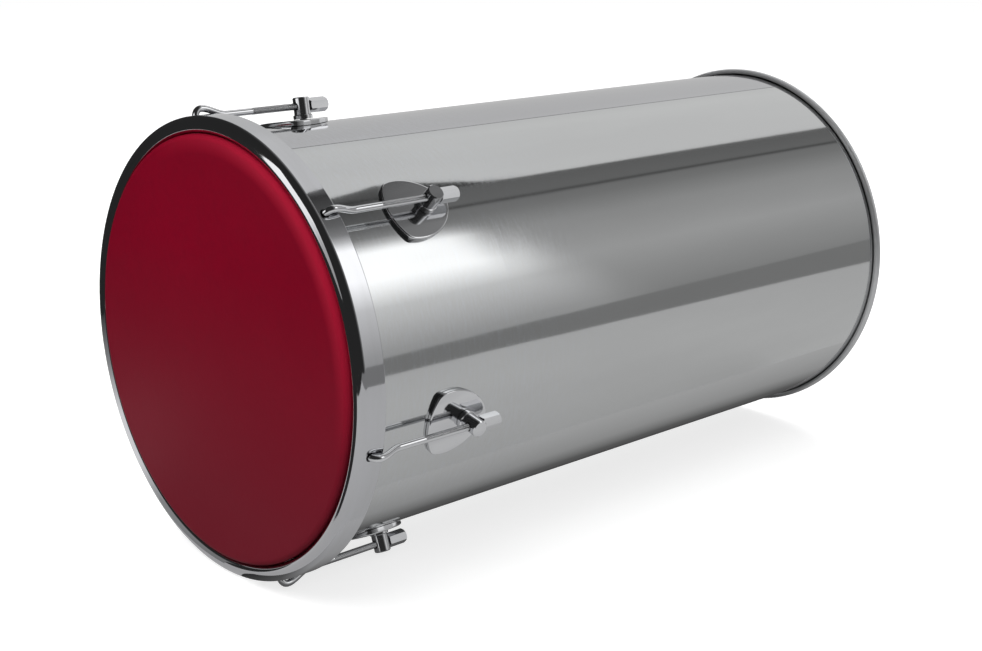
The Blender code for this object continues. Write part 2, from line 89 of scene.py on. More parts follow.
def drum_point(r, s, angle):
    """A point in metres, from mm and an angle counted from the top towards +X."""
    return (r * MM * math.sin(angle), (s - MIDDLE_S) * MM, (AXIS_Z + r * math.cos(angle)) * MM)


def lug_frame(degrees):
    """A lug's frame: Z out from the drum's axis at that angle, Y along the drum, its 0 at s = 0."""
    turn = Matrix.Rotation(math.radians(degrees), 4, "Y")
    return Matrix.Translation((0.0, -MIDDLE_S * MM, AXIS_Z * MM)) @ turn


def arc(centre, radius, start, sweep, steps):
    """Points (r, s); the angle is counted from +r towards +s."""
    points = []
    for k in range(steps + 1):
        a = math.radians(start + sweep * k / steps)
        points.append((centre[0] + radius * math.cos(a), centre[1] + radius * math.sin(a)))
    return points


def smooth(mesh, degrees=35.0):
    mesh.shade_smooth()
    mesh.set_sharp_from_angle(angle=math.radians(degrees))
    return mesh


def lathe(name, profile, angles=None, sink=None, closed=True):
    """A ring from an (r, s) profile in mm. sink(angle, r, s) moves a point inwards by that much."""
    if angles is None:
        angles = [math.tau * k / ROUND for k in range(ROUND)]
    n = len(profile)
    verts = []
    for a in angles:
        for r, s in profile:
            depth = sink(a, r, s) if sink else 0.0
            verts.append(drum_point(r - depth, s, a))
    faces = []
    last = n if closed else n - 1
    for k in range(len(angles)):
        base = k * n
        following = ((k + 1) % len(angles)) * n
        for j in range(last):
            m = (j + 1) % n
            faces.append((base + j, base + m, following + m, following + j))
    mesh = bpy.data.meshes.new(name)
    mesh.from_pydata(verts, [], faces)
    bm = bmesh.new()
    bm.from_mesh(mesh)
    bmesh.ops.remove_doubles(bm, verts=bm.verts, dist=0.000001)
    bmesh.ops.recalc_face_normals(bm, faces=bm.faces)
    bm.to_mesh(mesh)
    bm.free()
    return smooth(mesh)


def held(profile, gap=0.35, shortest=3.0):
    """The profile with extra points beside the ends of its long edges, so shading stays in the bends."""
    out = []
    n = len(profile)
    for k in range(n):
        a = Vector(profile[k])
        b = Vector(profile[(k + 1) % n])
        out.append(tuple(a))
        length = (b - a).length
        if length > shortest:
            out.append(tuple(a + (b - a) * gap / length))
            out.append(tuple(b + (a - b) * gap / length))
    return out


def dress(ob, body, node):
    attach(ob, body)
    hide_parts(node)


def piece(name, mesh, material, body, node):
    """A visible piece that rides on a body and stands in for a node."""
    ob = link(bpy.data.objects.new(name, mesh))
    mesh.materials.clear()
    mesh.materials.append(material)
    dress(ob, body, node)


def evaluated(ob):
    """The object's mesh with its modifiers applied. The object itself goes."""
    bpy.context.view_layer.update()
    deps = bpy.context.evaluated_depsgraph_get()
    mesh = bpy.data.meshes.new_from_object(ob.evaluated_get(deps), depsgraph=deps)
    bpy.data.objects.remove(ob, do_unlink=True)
    return mesh


def boolean(ob, cutter, operation="DIFFERENCE"):
    """The mesh of ob after the cut. Both objects go."""
    mod = ob.modifiers.new("cut", "BOOLEAN")
    mod.operation = operation
    mod.solver = "EXACT"
    mod.object = cutter
    mesh = evaluated(ob)
    bpy.data.objects.remove(cutter, do_unlink=True)
    return mesh


def drum_cylinder(radius, low, high, sides, axis="Z"):
    """A cylinder in mm as an object, along Z or Y."""
    bm = bmesh.new()
    bmesh.ops.create_cone(bm, cap_ends=True, segments=sides, radius1=radius * MM,
                          radius2=radius * MM, depth=(high - low) * MM)
    bmesh.ops.translate(bm, verts=bm.verts, vec=(0, 0, 0.5 * (low + high) * MM))
    if axis == "Y":
        bmesh.ops.rotate(bm, verts=bm.verts, matrix=Matrix.Rotation(-math.pi / 2, 3, "X"))
    mesh = bpy.data.meshes.new("cylinder")
    bm.to_mesh(mesh)
    bm.free()
    return link(bpy.data.objects.new("cylinder", mesh))


def turned(profile, sides):
    """A solid turned about Z from (r, z) in mm, open profile from axis to axis."""
    verts = []
    for k in range(sides):
        a = math.tau * k / sides
        verts += [(r * MM * math.cos(a), r * MM * math.sin(a), z * MM) for r, z in profile]
    n = len(profile)
    faces = []
    for k in range(sides):
        m = (k + 1) % sides
        faces += [(k * n + j, m * n + j, m * n + j + 1, k * n + j + 1) for j in range(n - 1)]
    mesh = bpy.data.meshes.new("turned")
    mesh.from_pydata(verts, [], faces)
    bm = bmesh.new()
    bm.from_mesh(mesh)
    bmesh.ops.remove_doubles(bm, verts=bm.verts, dist=0.000001)
    bmesh.ops.recalc_face_normals(bm, faces=bm.faces)
    bm.to_mesh(mesh)
    bm.free()
    return link(bpy.data.objects.new("turned", mesh))


def soften(mesh, width, segments=3, degrees=40.0):
    """The mesh with its sharp edges rounded."""
    ob = link(bpy.data.objects.new("soften", mesh))
    mod = ob.modifiers.new("bevel", "BEVEL")
    mod.width = width * MM
    mod.segments = segments
    mod.limit_method = "ANGLE"
    mod.angle_limit = math.radians(degrees)
    mod.harden_normals = False
    return evaluated(ob)


# Materials.

class Nodes:
    """Short calls to build a material's node tree."""

    def __init__(self, name):
        self.mat = bpy.data.materials.new(name)
        self.mat.use_nodes = True
        self.tree = self.mat.node_tree
        self.shader = self.tree.nodes["Principled BSDF"]
        self.place = self.tree.nodes.new("ShaderNodeTexCoord").outputs["Object"]

    def add(self, kind, inputs=None, **props):
        node = self.tree.nodes.new(kind)
        for key, value in props.items():
            setattr(node, key, value)
        for key, value in (inputs or {}).items():
            self.put(node.inputs[key], value)
        return node

    def put(self, socket, value):
        if isinstance(value, bpy.types.NodeSocket):
            self.tree.links.new(value, socket)
        else:
            socket.default_value = value

    def math(self, operation, *values):
        node = self.add("ShaderNodeMath", operation=operation)
        for k, value in enumerate(values):
            self.put(node.inputs[k], value)
        return node.outputs[0]

    def scaled(self, factors):
        return self.add("ShaderNodeMapping", {"Vector": self.place, "Scale": factors}).outputs[0]

    def noise(self, vector, scale, detail=3.0, rough=0.5):
        node = self.add("ShaderNodeTexNoise", {"Vector": vector, "Scale": scale, "Detail": detail,
                                               "Roughness": rough})
        return node.outputs["Fac"]

    def remap(self, value, low, high, to_low=0.0, to_high=1.0):
        inputs = {0: value, 1: low, 2: high, 3: to_low, 4: to_high}
        return self.add("ShaderNodeMapRange", inputs).outputs[0]

    def mix(self, factor, a, b):
        node = self.add("ShaderNodeMix", data_type="RGBA")
        self.put(node.inputs[0], factor)
        self.put(node.inputs[6], (*a, 1.0) if isinstance(a, tuple) else a)
        self.put(node.inputs[7], (*b, 1.0) if isinstance(b, tuple) else b)
        return node.outputs[2]

    def bump(self, height, strength, distance, normal=None):
        node = self.add("ShaderNodeBump", {"Height": height, "Strength": strength,
                                           "Distance": distance})
        if normal is not None:
            self.put(node.inputs["Normal"], normal)
        return node.outputs[0]

    def set(self, **values):
        names = {"colour": "Base Color", "metal": "Metallic", "rough": "Roughness", "normal": "Normal",
                 "specular": "Specular IOR Level"}
        for key, value in values.items():
            if isinstance(value, tuple):
                value = (*value, 1.0)
            self.put(self.shader.inputs[names[key]], value)
        return self.mat


def metal(name, light, dark, rough, spread, stretch, fine=900.0, waves=0.0, share=1.0):
    """Bare or plated metal: faint clouding, fine lines along one direction, and shallow waves.

    stretch squeezes the noise along each axis. share is how metallic it is, less where it is dull.
    """
    n = Nodes(name)
    cloud = n.noise(n.scaled(stretch), 14.0, 4.0)
    lines = n.noise(n.scaled(stretch), fine, 2.0, 0.7)
    colour = n.mix(n.remap(cloud, 0.35, 0.65), light, dark)
    roughness = n.math("ADD", n.remap(cloud, 0.3, 0.7, rough, rough + spread),
                       n.remap(lines, 0.3, 0.7, 0.0, 0.5 * spread))
    normal = n.bump(lines, 0.02, 0.00005)
    if waves:
        slow = n.noise(n.scaled((1.0, 0.35, 1.0)), 9.0, 1.0, 0.4)
        normal = n.bump(slow, waves, 0.004, normal)
    return n.set(colour=colour, metal=share, rough=roughness, normal=normal)


def napa():
    """Red leatherette: pebbled grain and faint creases, a painted floor reflection and shade that make it
    greyer and darker low down, and a painted highlight that makes its rim paler at the upper right.
    """
    bright = (0.250, 0.0012, 0.0170)
    deep = (0.216, 0.0010, 0.0150)
    pore = (0.16, 0.0012, 0.010)
    crease = (0.185, 0.0022, 0.0150)
    # Painted light: this colour is a painted floor reflection with shade for the lower part of the head.
    painted_floor_sheen_shade = (0.180, 0.0125, 0.0245)
    # Painted light: this colour is a painted highlight for the upper right of the rim.
    pale = (0.46, 0.014, 0.042)
    # Heights in metres between which the painted reflection and shade fade in towards the bottom.
    sheen_shade_top, sheen_shade_bottom = 0.25, 0.08
    # Radii and direction of the painted rim highlight.
    highlight_from, highlight_full = 0.1385, 0.1475
    highlight_x, highlight_z = 0.64, 0.77
    n = Nodes("red_napa")
    cells = n.add("ShaderNodeTexVoronoi", {"Vector": n.place, "Scale": 1500.0}, feature="SMOOTH_F1")
    fine = n.noise(n.place, 2600.0, 2.0, 0.6)
    cloud = n.noise(n.place, 9.0, 3.0)
    grain = n.math("ADD", n.math("MULTIPLY", cells.outputs["Distance"], -1.0),
                   n.math("MULTIPLY", fine, 0.35))
    colour = n.mix(n.remap(cloud, 0.3, 0.7), bright, deep)
    colour = n.mix(n.remap(fine, 0.35, 0.75, 0.0, 0.35), colour, pore)
    creases = n.noise(n.place, 150.0, 5.0, 0.65)
    colour = n.mix(n.remap(creases, 0.45, 0.75, 0.0, 0.45), colour, crease)
    xyz = n.add("ShaderNodeSeparateXYZ", {"Vector": n.place})
    height = n.math("MULTIPLY_ADD", cloud, 0.04, xyz.outputs[2])
    # Painted floor reflection and shade: greyer and darker towards the bottom.
    colour = n.mix(n.remap(height, sheen_shade_top, sheen_shade_bottom), colour, painted_floor_sheen_shade)
    # Painted highlight: the rim is made paler towards the upper right.
    up = n.math("SUBTRACT", xyz.outputs[2], AXIS_Z * MM)
    squares = n.math("ADD", n.math("POWER", xyz.outputs[0], 2.0), n.math("POWER", up, 2.0))
    radius = n.math("SQRT", squares)
    towards = n.math("MULTIPLY_ADD", xyz.outputs[0], highlight_x, n.math("MULTIPLY", up, highlight_z))
    share = n.remap(n.math("DIVIDE", towards, radius), 0.40, 0.95, 0.0, 0.65)
    painted_highlight = n.math("MULTIPLY", n.remap(radius, highlight_from, highlight_full), share)
    colour = n.mix(painted_highlight, colour, pale)
    rough = n.math("ADD", n.remap(cloud, 0.3, 0.7, 0.34, 0.40), n.remap(fine, 0.3, 0.7, 0.0, 0.08))
    normal = n.bump(creases, 0.25, 0.0006, n.bump(grain, 0.22, 0.00012))
    return n.set(colour=colour, metal=0.0, rough=rough, normal=normal, specular=0.02)


def shell_finish():
    """Polished sheet: a thin dull seam with a cooler shade on one side, and faint brushing by the head."""
    light, dark = (0.572, 0.580, 0.580), (0.550, 0.557, 0.558)
    cool, dull, brushed_tone = (0.470, 0.468, 0.490), (0.16, 0.16, 0.17), (0.590, 0.615, 0.650)
    brushed_end, brushed_full = -0.02, -0.14
    n = Nodes("polished_shell")
    xyz = n.add("ShaderNodeSeparateXYZ", {"Vector": n.place})
    up = n.math("SUBTRACT", xyz.outputs[2], AXIS_Z * MM)
    angle = n.math("MULTIPLY", n.math("ARCTAN2", xyz.outputs[0], up), 180.0 / math.pi)
    from_seam = n.math("SUBTRACT", angle, SEAM_DEGREES)
    lapped = n.math("MULTIPLY", n.remap(from_seam, 0.05, -0.05), n.remap(from_seam, -150.0, -40.0))
    line = n.remap(n.math("ABSOLUTE", from_seam), 0.12, 0.26, 1.0, 0.0)
    cloud = n.noise(n.scaled((6.0, 1.0, 6.0)), 5.0, 4.0)
    lines = n.noise(n.scaled((60.0, 1.0, 60.0)), 40.0, 2.0, 0.7)
    colour = n.mix(n.remap(cloud, 0.35, 0.65), light, dark)
    colour = n.mix(n.math("MULTIPLY", lapped, 0.6), colour, cool)
    colour = n.mix(n.math("MULTIPLY", line, 0.75), colour, dull)
    rough = n.math("ADD", n.remap(cloud, 0.3, 0.7, 0.045, 0.07), n.remap(lines, 0.3, 0.7, 0.0, 0.015))
    rough = n.math("ADD", rough, n.math("MULTIPLY", line, 0.3))
    near_head = n.remap(xyz.outputs[1], brushed_end, brushed_full)
    streaks = n.noise(n.scaled((1.0, 6.0, 1.0)), 110.0, 3.0, 0.65)
    brushed = n.math("MULTIPLY", near_head, n.remap(streaks, 0.42, 0.72))
    rough = n.math("MULTIPLY_ADD", brushed, 0.04, rough)
    colour = n.mix(n.math("MULTIPLY", brushed, 0.4), colour, brushed_tone)
    slow = n.noise(n.scaled((1.0, 0.35, 1.0)), 9.0, 1.0, 0.4)
    ripple = n.noise(n.scaled((1.0, 1.6, 1.0)), 9.0, 1.0, 0.4)
    normal = n.bump(lines, 0.02, 0.00005)
    normal = n.bump(slow, 0.10, 0.004, normal)
    normal = n.bump(n.math("MULTIPLY", ripple, near_head), 0.10, 0.004, normal)
    return n.set(colour=colour, metal=1.0, rough=rough, normal=normal)


shell_metal = shell_finish()
edge_metal = metal("curled_edge", (0.60, 0.605, 0.615), (0.52, 0.525, 0.535), 0.26, 0.10,
                   (1.0, 8.0, 1.0), 160.0, share=0.72)
inner_metal = metal("shell_inside", (0.52, 0.525, 0.53), (0.45, 0.455, 0.46), 0.30, 0.12,
                    (1.0, 12.0, 1.0), 60.0)
hoop_metal = metal("hoop_chrome", (0.56, 0.565, 0.585), (0.54, 0.545, 0.56), 0.04, 0.03,
                   (1.0, 8.0, 1.0), 120.0, 0.02)
hardware = metal("hardware_chrome", (0.70, 0.705, 0.72), (0.63, 0.635, 0.65), 0.05, 0.05,
                 (6.0, 1.0, 6.0), 160.0)
flesh_metal = metal("flesh_hoop_aluminium", (0.62, 0.63, 0.64), (0.50, 0.51, 0.52), 0.24, 0.12,
                    (1.0, 20.0, 1.0), 120.0)
zinc = metal("zinc_plate", (0.48, 0.49, 0.50), (0.36, 0.37, 0.38), 0.30, 0.15, (1.0, 1.0, 1.0), 700.0)
wire_metal = metal("edge_wire_steel", (0.42, 0.42, 0.43), (0.30, 0.30, 0.31), 0.35, 0.15,
                   (1.0, 6.0, 1.0), 300.0)
red_head = napa()


# Shell, head and hoop.

SEAM = math.radians(SEAM_DEGREES)
SEAM_HALF = 0.25 / SHELL_R
SEAM_DEPTH = 0.25
SEAM_START = 22.0
SEAM_END = DRUM_LENGTH - 12.0
CURL_SWEEP = 285.0
CURL_FLAT = 1.0


def shell_profile():
    """(r, s) round the section: bearing roll, outside, rear curl, inside."""
    inner = SHELL_R - SHELL_WALL
    roll_r = BEARING_ROLL_R
    centre = (SHELL_R - roll_r, HEAD_FRONT + SKIN + GAP + roll_r)
    join = math.degrees(math.acos((inner - centre[0]) / roll_r))
    roll = arc(centre, roll_r, join, 360.0 - join, 24)
    mid_r = CURL_MID_R
    half = 0.5 * SHELL_WALL
    flat = math.degrees(math.asin(CURL_FLAT / (mid_r + half)))
    shift = (mid_r + half) * (1.0 - math.cos(math.radians(flat)))
    curl = (SHELL_R - half + mid_r, DRUM_LENGTH - mid_r - half + shift)
    hollow = arc(curl, mid_r - half, 180.0, -CURL_SWEEP, 26)
    outside = arc(curl, mid_r + half, 180.0 - CURL_SWEEP, CURL_SWEEP - 90.0 - flat, 18)
    outside += arc(curl, mid_r + half, 90.0 + flat, 90.0 - flat, 8)
    return roll + hollow + outside


def seam_sink(angle, r, s):
    """The groove of the rolled sheet's lengthwise seam."""
    at_seam = abs(angle - SEAM) < 0.9 * SEAM_HALF
    outside = r > SHELL_R - 0.01
    return SEAM_DEPTH if at_seam and outside and SEAM_START < s < SEAM_END else 0.0


def seam_angles():
    """Even angles round the shell, with extra ones beside the seam."""
    plain = [math.tau * k / ROUND for k in range(ROUND)]
    plain = [a for a in plain if abs(a - SEAM) > 2.5 * SEAM_HALF]
    extra = [SEAM + k * SEAM_HALF for k in (-1.6, -1.05, -0.8, 0.8, 1.05, 1.6)]
    return sorted(plain + extra)


def build_shell():
    """The finer shell, with a material of its own inside and on the rear curl."""
    profile = held(shell_profile())
    mesh = lathe("shell_body", profile, seam_angles(), seam_sink)
    piece("shell_body", mesh, shell_metal, "shell", "shell")
    mesh.materials.append(inner_metal)
    mesh.materials.append(edge_metal)
    inside_r = (SHELL_R - 0.9) * MM
    curl_r = (SHELL_R + 0.1) * MM
    behind_roll = (8.0 - MIDDLE_S) * MM
    for face in mesh.polygons:
        c = face.center
        r = math.hypot(c.x, c.z - AXIS_Z * MM)
        if r < inside_r and c.y > behind_roll:
            face.material_index = 1
        if r > curl_r:
            face.material_index = 2


def build_edge_wire():
    """The wire inside the rear curl."""
    half = 0.5 * SHELL_WALL
    wire_r = CURL_MID_R - half - 0.15
    middle = (SHELL_R - half + CURL_MID_R, DRUM_LENGTH - CURL_MID_R - half + 0.1)
    wire = lathe("edge_wire_fine", arc(middle, wire_r, 0.0, 345.0, 23))
    piece("edge_wire_fine", wire, wire_metal, "shell", "rear_edge_wire")


def build_head():
    """The padded skin: its shoulder swells out a little over the hoop's roll, in front of the collar."""
    swell_forward, swell_out, round_r, corner = 2.4, 0.3, 4.2, 0.15
    front = HEAD_FRONT - swell_forward
    crest = HEAD_R + swell_out
    outside = [(0.0, front), (40.0, front), (100.0, front), (crest - round_r - 0.5, front)]
    outside += arc((crest - round_r, front + round_r), round_r, -90.0, 90.0, 16)
    outside += [(crest - 0.1, 0.3), (crest - 0.25, 1.5), (HEAD_R, 3.0)]
    outside += [(HEAD_R, HEAD_BACK - 0.25), (HEAD_R - corner, HEAD_BACK)]
    outside += [(HEAD_R - SKIN + corner, HEAD_BACK), (HEAD_R - SKIN, HEAD_BACK - 0.25)]
    shoulder = BEARING_ROLL_R + HEAD_R - SHELL_R
    inside = arc((HEAD_R - shoulder, HEAD_FRONT + shoulder), shoulder - SKIN, 0.0, -90.0, 8)
    inside += [(100.0, HEAD_FRONT + SKIN), (0.0, HEAD_FRONT + SKIN)]
    mesh = lathe("napa_head", outside + inside, closed=False)
    piece("napa_head", mesh, red_head, "shell", "drumhead")


def build_hoop():
    """The roll and the flat band, with a hole for each hook."""
    edge = 0.5
    hole_low, hole_high = HOOP_R - 6.2, HOOP_R + 2.0
    crest = HOOP_R - HOOP_ROLL_R
    profile = arc((crest, HOOP_FRONT + HOOP_ROLL_R), HOOP_ROLL_R, 180.0, 180.0, 32)
    profile += arc((HOOP_R - edge, HOOP_BACK - edge), edge, 0.0, 90.0, 4)
    profile += arc((HOOP_R - HOOP_BAND + edge, HOOP_BACK - edge), edge, 90.0, 90.0, 4)
    profile += [(HOOP_R - HOOP_BAND, HOOP_ROLL_BACK)]
    profile += arc((crest - HOOP_ROLL_R + edge, HOOP_ROLL_BACK - edge), edge, 90.0, 90.0, 4)
    mesh = lathe("chromed_hoop", held(profile))
    ob = link(bpy.data.objects.new("blank", mesh))
    bm = bmesh.new()
    for degrees in LUGS:
        hole = drum_cylinder(HOOK_HOLE_R, hole_low, hole_high, 24)
        place = lug_frame(degrees) @ Matrix.Translation((0.0, HOOK_S * MM, 0.0))
        hole.data.transform(place)
        bm.from_mesh(hole.data)
        bpy.data.objects.remove(hole, do_unlink=True)
    holes = bpy.data.meshes.new("holes")
    bm.to_mesh(holes)
    bm.free()
    mesh = smooth(boolean(ob, link(bpy.data.objects.new("holes", holes))))
    piece("chromed_hoop", mesh, hoop_metal, "hoop", "tension_hoop")


# Lugs: plate, post, rod, nut.

def bulge_centre(first, second, radius):
    """Centre of the arc of that radius that touches two corner circles (u, s, r) from outside."""
    a = Vector(first[:2])
    b = Vector(second[:2])
    reach_a = radius - first[2]
    reach_b = radius - second[2]
    span = (b - a).length
    along = (span * span + reach_a * reach_a - reach_b * reach_b) / (2 * span)
    side = math.sqrt(reach_a * reach_a - along * along)
    direction = (b - a) / span
    return a + direction * along + Vector((-direction.y, direction.x)) * side


def rim_arc(centre, radius, start, turn, parts, steps):
    """Points (u, s) at the given steps of an arc that is cut in equal parts, from radians."""
    angles = [start + turn * j / parts for j in steps]
    return [(centre[0] + radius * math.cos(a), centre[1] + radius * math.sin(a)) for a in angles]


def plate_outline():
    """A rounded triangle with bulging sides: (u, s), u across the plate."""
    corners = [(-15.8, 76.0, 7.0), (15.8, 76.0, 7.0), (0.0, 107.5, 8.0)]
    centres = [bulge_centre(corners[k], corners[(k + 1) % 3], PLATE_BULGE_R) for k in range(3)]
    points = []
    for k, (u, s, radius) in enumerate(corners):
        corner = Vector((u, s))
        start = (corner - centres[k - 1]).angle_signed(Vector((1, 0)))
        end = (corner - centres[k]).angle_signed(Vector((1, 0)))
        turn = (end - start) % math.tau
        points += rim_arc((u, s), radius, start, turn, 10, range(11))
        following = Vector(corners[(k + 1) % 3][:2])
        turn = ((following - centres[k]).angle_signed(Vector((1, 0))) - end) % math.tau
        points += rim_arc(centres[k], PLATE_BULGE_R, end, turn, 14, range(1, 14))
    return points


def plate_mesh():
    """The pick-shaped plate, rounded at its rim and bent to the shell, in its lug's frame."""
    thick, edge, underside_hole = PLATE_THICK, 1.0, 4.0
    outline = [Vector(p) for p in plate_outline()]
    count = len(outline)
    normals = []
    for k in range(count):
        run = (outline[(k + 1) % count] - outline[k - 1]).normalized()
        normals.append(Vector((-run.y, run.x)))
    rows = [(0.0, 0.0), (0.0, thick - edge)]
    for k in range(1, 6):
        a = 0.5 * math.pi * k / 5
        rows.append((edge * (1.0 - math.cos(a)), thick - edge + edge * math.sin(a)))
    rows += [(edge + 0.5, thick), (3.6, thick)]
    loops = [[(outline[k] + normals[k] * inset, z) for k in range(count)] for inset, z in rows]
    middle = sum(outline, Vector((0, 0))) / count
    last_rim = loops[-1]
    for share in (0.75, 0.5, 0.25):
        loops.append([(middle + (p - middle) * share, thick) for p, _ in last_rim])
    base = SHELL_R + GAP

    def bent(flat, z):
        """Bent round the drum, with an outer face flatter than the shell."""
        a = flat.x / base
        z += PLATE_FLATTER * flat.x ** 2 * z / thick
        return ((base + z) * math.sin(a) * MM, flat.y * MM, (base + z) * math.cos(a) * MM)

    verts = [bent(p, z) for loop in loops for p, z in loop]
    faces = []
    for j in range(len(loops) - 1):
        for k in range(count):
            m = (k + 1) % count
            faces.append((j * count + k, j * count + m, (j + 1) * count + m, (j + 1) * count + k))
    verts.append(bent(middle, thick))
    tip = len(verts) - 1
    top = (len(loops) - 1) * count
    faces += [(top + k, top + (k + 1) % count, tip) for k in range(count)]
    for k in range(count):
        a = math.tau * k / count
        verts.append(bent(Vector((underside_hole * math.cos(a), LUG_S + underside_hole * math.sin(a))), 0.0))
    first = tip + 1
    # The ring's first point lies towards +u, and so does the outline's point that it joins.
    start = min(range(count), key=lambda k: (outline[k] - Vector((20.0, LUG_S))).length)
    faces += [(k, (k + 1) % count, first + (k + 1 - start) % count, first + (k - start) % count)
              for k in range(count)]
    faces.append(tuple(first + k for k in range(count)))
    mesh = bpy.data.meshes.new("lug_plate_fine")
    mesh.from_pydata(verts, [], faces)
    bm = bmesh.new()
    bm.from_mesh(mesh)
    bmesh.ops.recalc_face_normals(bm, faces=bm.faces)
    bm.to_mesh(mesh)
    bm.free()
    return smooth(mesh)


def post_mesh():
    """The post with its foot, the milled seat for the nut and the cross hole for the rod."""
    base = SHELL_R + 2 * GAP + PLATE_THICK
    above_rod, hole_r = 6.4, 3.1
    end = ROD_AXIS_R + above_rod - base
    r, c, foot_r, foot_h = POST_R, 0.7, 7.0, 2.6
    seat_size = (24.0, 7.0, 16.0)
    profile = [(0.0, end), (r - c, end), (r, end - c), (r, foot_h + c), (foot_r - 0.25, foot_h + 0.25),
               (foot_r, foot_h), (foot_r, 0.0), (0.0, 0.0)]
    post = turned(profile, 64)
    rod_z = ROD_AXIS_R - base
    low = rod_z - 0.5 * NUT_FLATS - c
    bm = bmesh.new()
    bmesh.ops.create_cube(bm, size=1.0)
    bmesh.ops.scale(bm, verts=bm.verts, vec=[side * MM for side in seat_size])
    middle = (0, (SEAT_S + 0.5 * seat_size[1]) * MM, (low + 0.5 * seat_size[2]) * MM)
    bmesh.ops.translate(bm, verts=bm.verts, vec=middle)
    seat = bpy.data.meshes.new("seat")
    bm.to_mesh(seat)
    bm.free()
    mesh = boolean(post, link(bpy.data.objects.new("seat", seat)))
    hole = drum_cylinder(hole_r, -2 * POST_R, 2 * POST_R, 32, "Y")
    hole.data.transform(Matrix.Translation((0.0, 0.0, rod_z * MM)))
    mesh = boolean(link(bpy.data.objects.new("post", mesh)), hole)
    mesh = soften(mesh, 0.22)
    mesh.transform(Matrix.Translation((0.0, LUG_S * MM, base * MM)))
    mesh.name = "lug_post_fine"
    return smooth(mesh)


def rod_spine():
    """Centre line (s, r) of the hooked end, as a smooth run of points."""
    above_hoop, bend, run = 1.5, 5.0, 20.0
    top = HOOP_R + GAP + ROD_R + above_hoop
    points = [(HOOK_S, HOOP_R - 5.3), (HOOK_S, HOOP_R - 3.6)]
    for k in range(15):
        a = 0.5 * math.pi * k / 14
        points.append((HOOK_S + bend * (1.0 - math.cos(a)), top - bend + bend * math.sin(a)))
    for k in range(1, 25):
        t = k / 24
        points.append((HOOK_S + bend + run * t, top + (ROD_AXIS_R - top) * t * t * (3.0 - 2.0 * t)))
    points += [(s, ROD_AXIS_R) for s in (33.0, THREAD_START - 1.0, THREAD_START + 0.6)]
    return points


def rod_mesh():
    """The hooked wire swept along its spine, and the threaded rear half."""
    root, crest, pitch = 2.33, 2.48, 1.0
    curve = bpy.data.curves.new("rod", "CURVE")
    curve.dimensions = "3D"
    curve.bevel_depth = ROD_R * MM
    curve.bevel_resolution = 7
    curve.use_fill_caps = True
    curve.twist_mode = "Z_UP"
    spline = curve.splines.new("POLY")
    spine = rod_spine()
    spline.points.add(len(spine) - 1)
    for point, (s, r) in zip(spline.points, spine):
        point.co = (0.0, s * MM, r * MM, 1.0)
    wire = evaluated(link(bpy.data.objects.new("rod", curve)))
    bm = bmesh.new()
    bm.from_mesh(wire)
    thread = thread_mesh(root, crest, THREAD_START, THREAD_END, pitch)
    bm.from_mesh(thread)
    mesh = bpy.data.meshes.new("tension_rod_fine")
    bm.to_mesh(mesh)
    bm.free()
    return smooth(mesh, 60.0)


def thread_mesh(root, crest, start, end, pitch):
    """A right-hand V thread as one closed skin, from a grid whose radius follows the helix."""
    around, per_turn, end_taper = 24, 8, 0.35
    rows = round((end - start) / pitch * per_turn)
    verts = []
    for j in range(rows + 1):
        s = start + pitch * j / per_turn
        from_end = min(s - start, end - s) / pitch
        fade = min(1.0, 0.25 + from_end)
        for k in range(around):
            phase = (j / per_turn - k / around) % 1.0
            ridge = 1.0 - abs(2.0 * phase - 1.0)
            r = root - end_taper * (1.0 - fade) + (crest - root) * min(1.0, 1.15 * ridge) * fade
            a = math.tau * k / around
            verts.append((r * math.sin(a) * MM, s * MM, (ROD_AXIS_R + r * math.cos(a)) * MM))
    faces = []
    for j in range(rows):
        for k in range(around):
            m = (k + 1) % around
            faces.append((j * around + k, j * around + m, (j + 1) * around + m, (j + 1) * around + k))
    faces.append(tuple(range(around)))
    faces.append(tuple(rows * around + k for k in range(around)))
    mesh = bpy.data.meshes.new("thread")
    mesh.from_pydata(verts, [], faces)
    bm = bmesh.new()
    bm.from_mesh(mesh)
    bmesh.ops.recalc_face_normals(bm, faces=bm.faces)
    bm.to_mesh(mesh)
    bm.free()
    return mesh


def nut_mesh():
    """The hexagonal cap nut: chamfered foot, domed end and a blind bore."""
    length, dome, dome_r, chamfer = 15.6, 2.4, 3.1, 0.5
    bore_r, bore_depth = 3.05, 13.4
    corner = 0.5 * NUT_FLATS / math.cos(math.pi / 6)
    start = length - dome
    profile = [(0.0, length), (dome_r * 0.6, length - 0.05), (dome_r, length - 0.25)]
    profile += arc((dome_r - 0.2, start - 0.3), corner - dome_r + 0.6, 66.0, -60.0, 6)
    profile += [(corner + chamfer, start - chamfer - 0.6), (corner + chamfer, 2 * chamfer),
                (corner - chamfer, 0.0), (0.0, 0.0)]
    shape = turned(profile, 48)
    blank = drum_cylinder(corner, 0.0, length, 6)
    mesh = boolean(blank, shape, "INTERSECT")
    bore = drum_cylinder(bore_r, -2.0, bore_depth, 32)
    mesh = boolean(link(bpy.data.objects.new("nut", mesh)), bore)
    mesh = soften(mesh, 0.2, 3, 25.0)
    mesh.transform(Matrix.Rotation(-math.pi / 2, 4, "X"))
    mesh.transform(Matrix.Translation((0.0, (LUG_S + SEAT_S + GAP) * MM, ROD_AXIS_R * MM)))
    mesh.name = "tension_nut_fine"
    return smooth(mesh, 30.0)


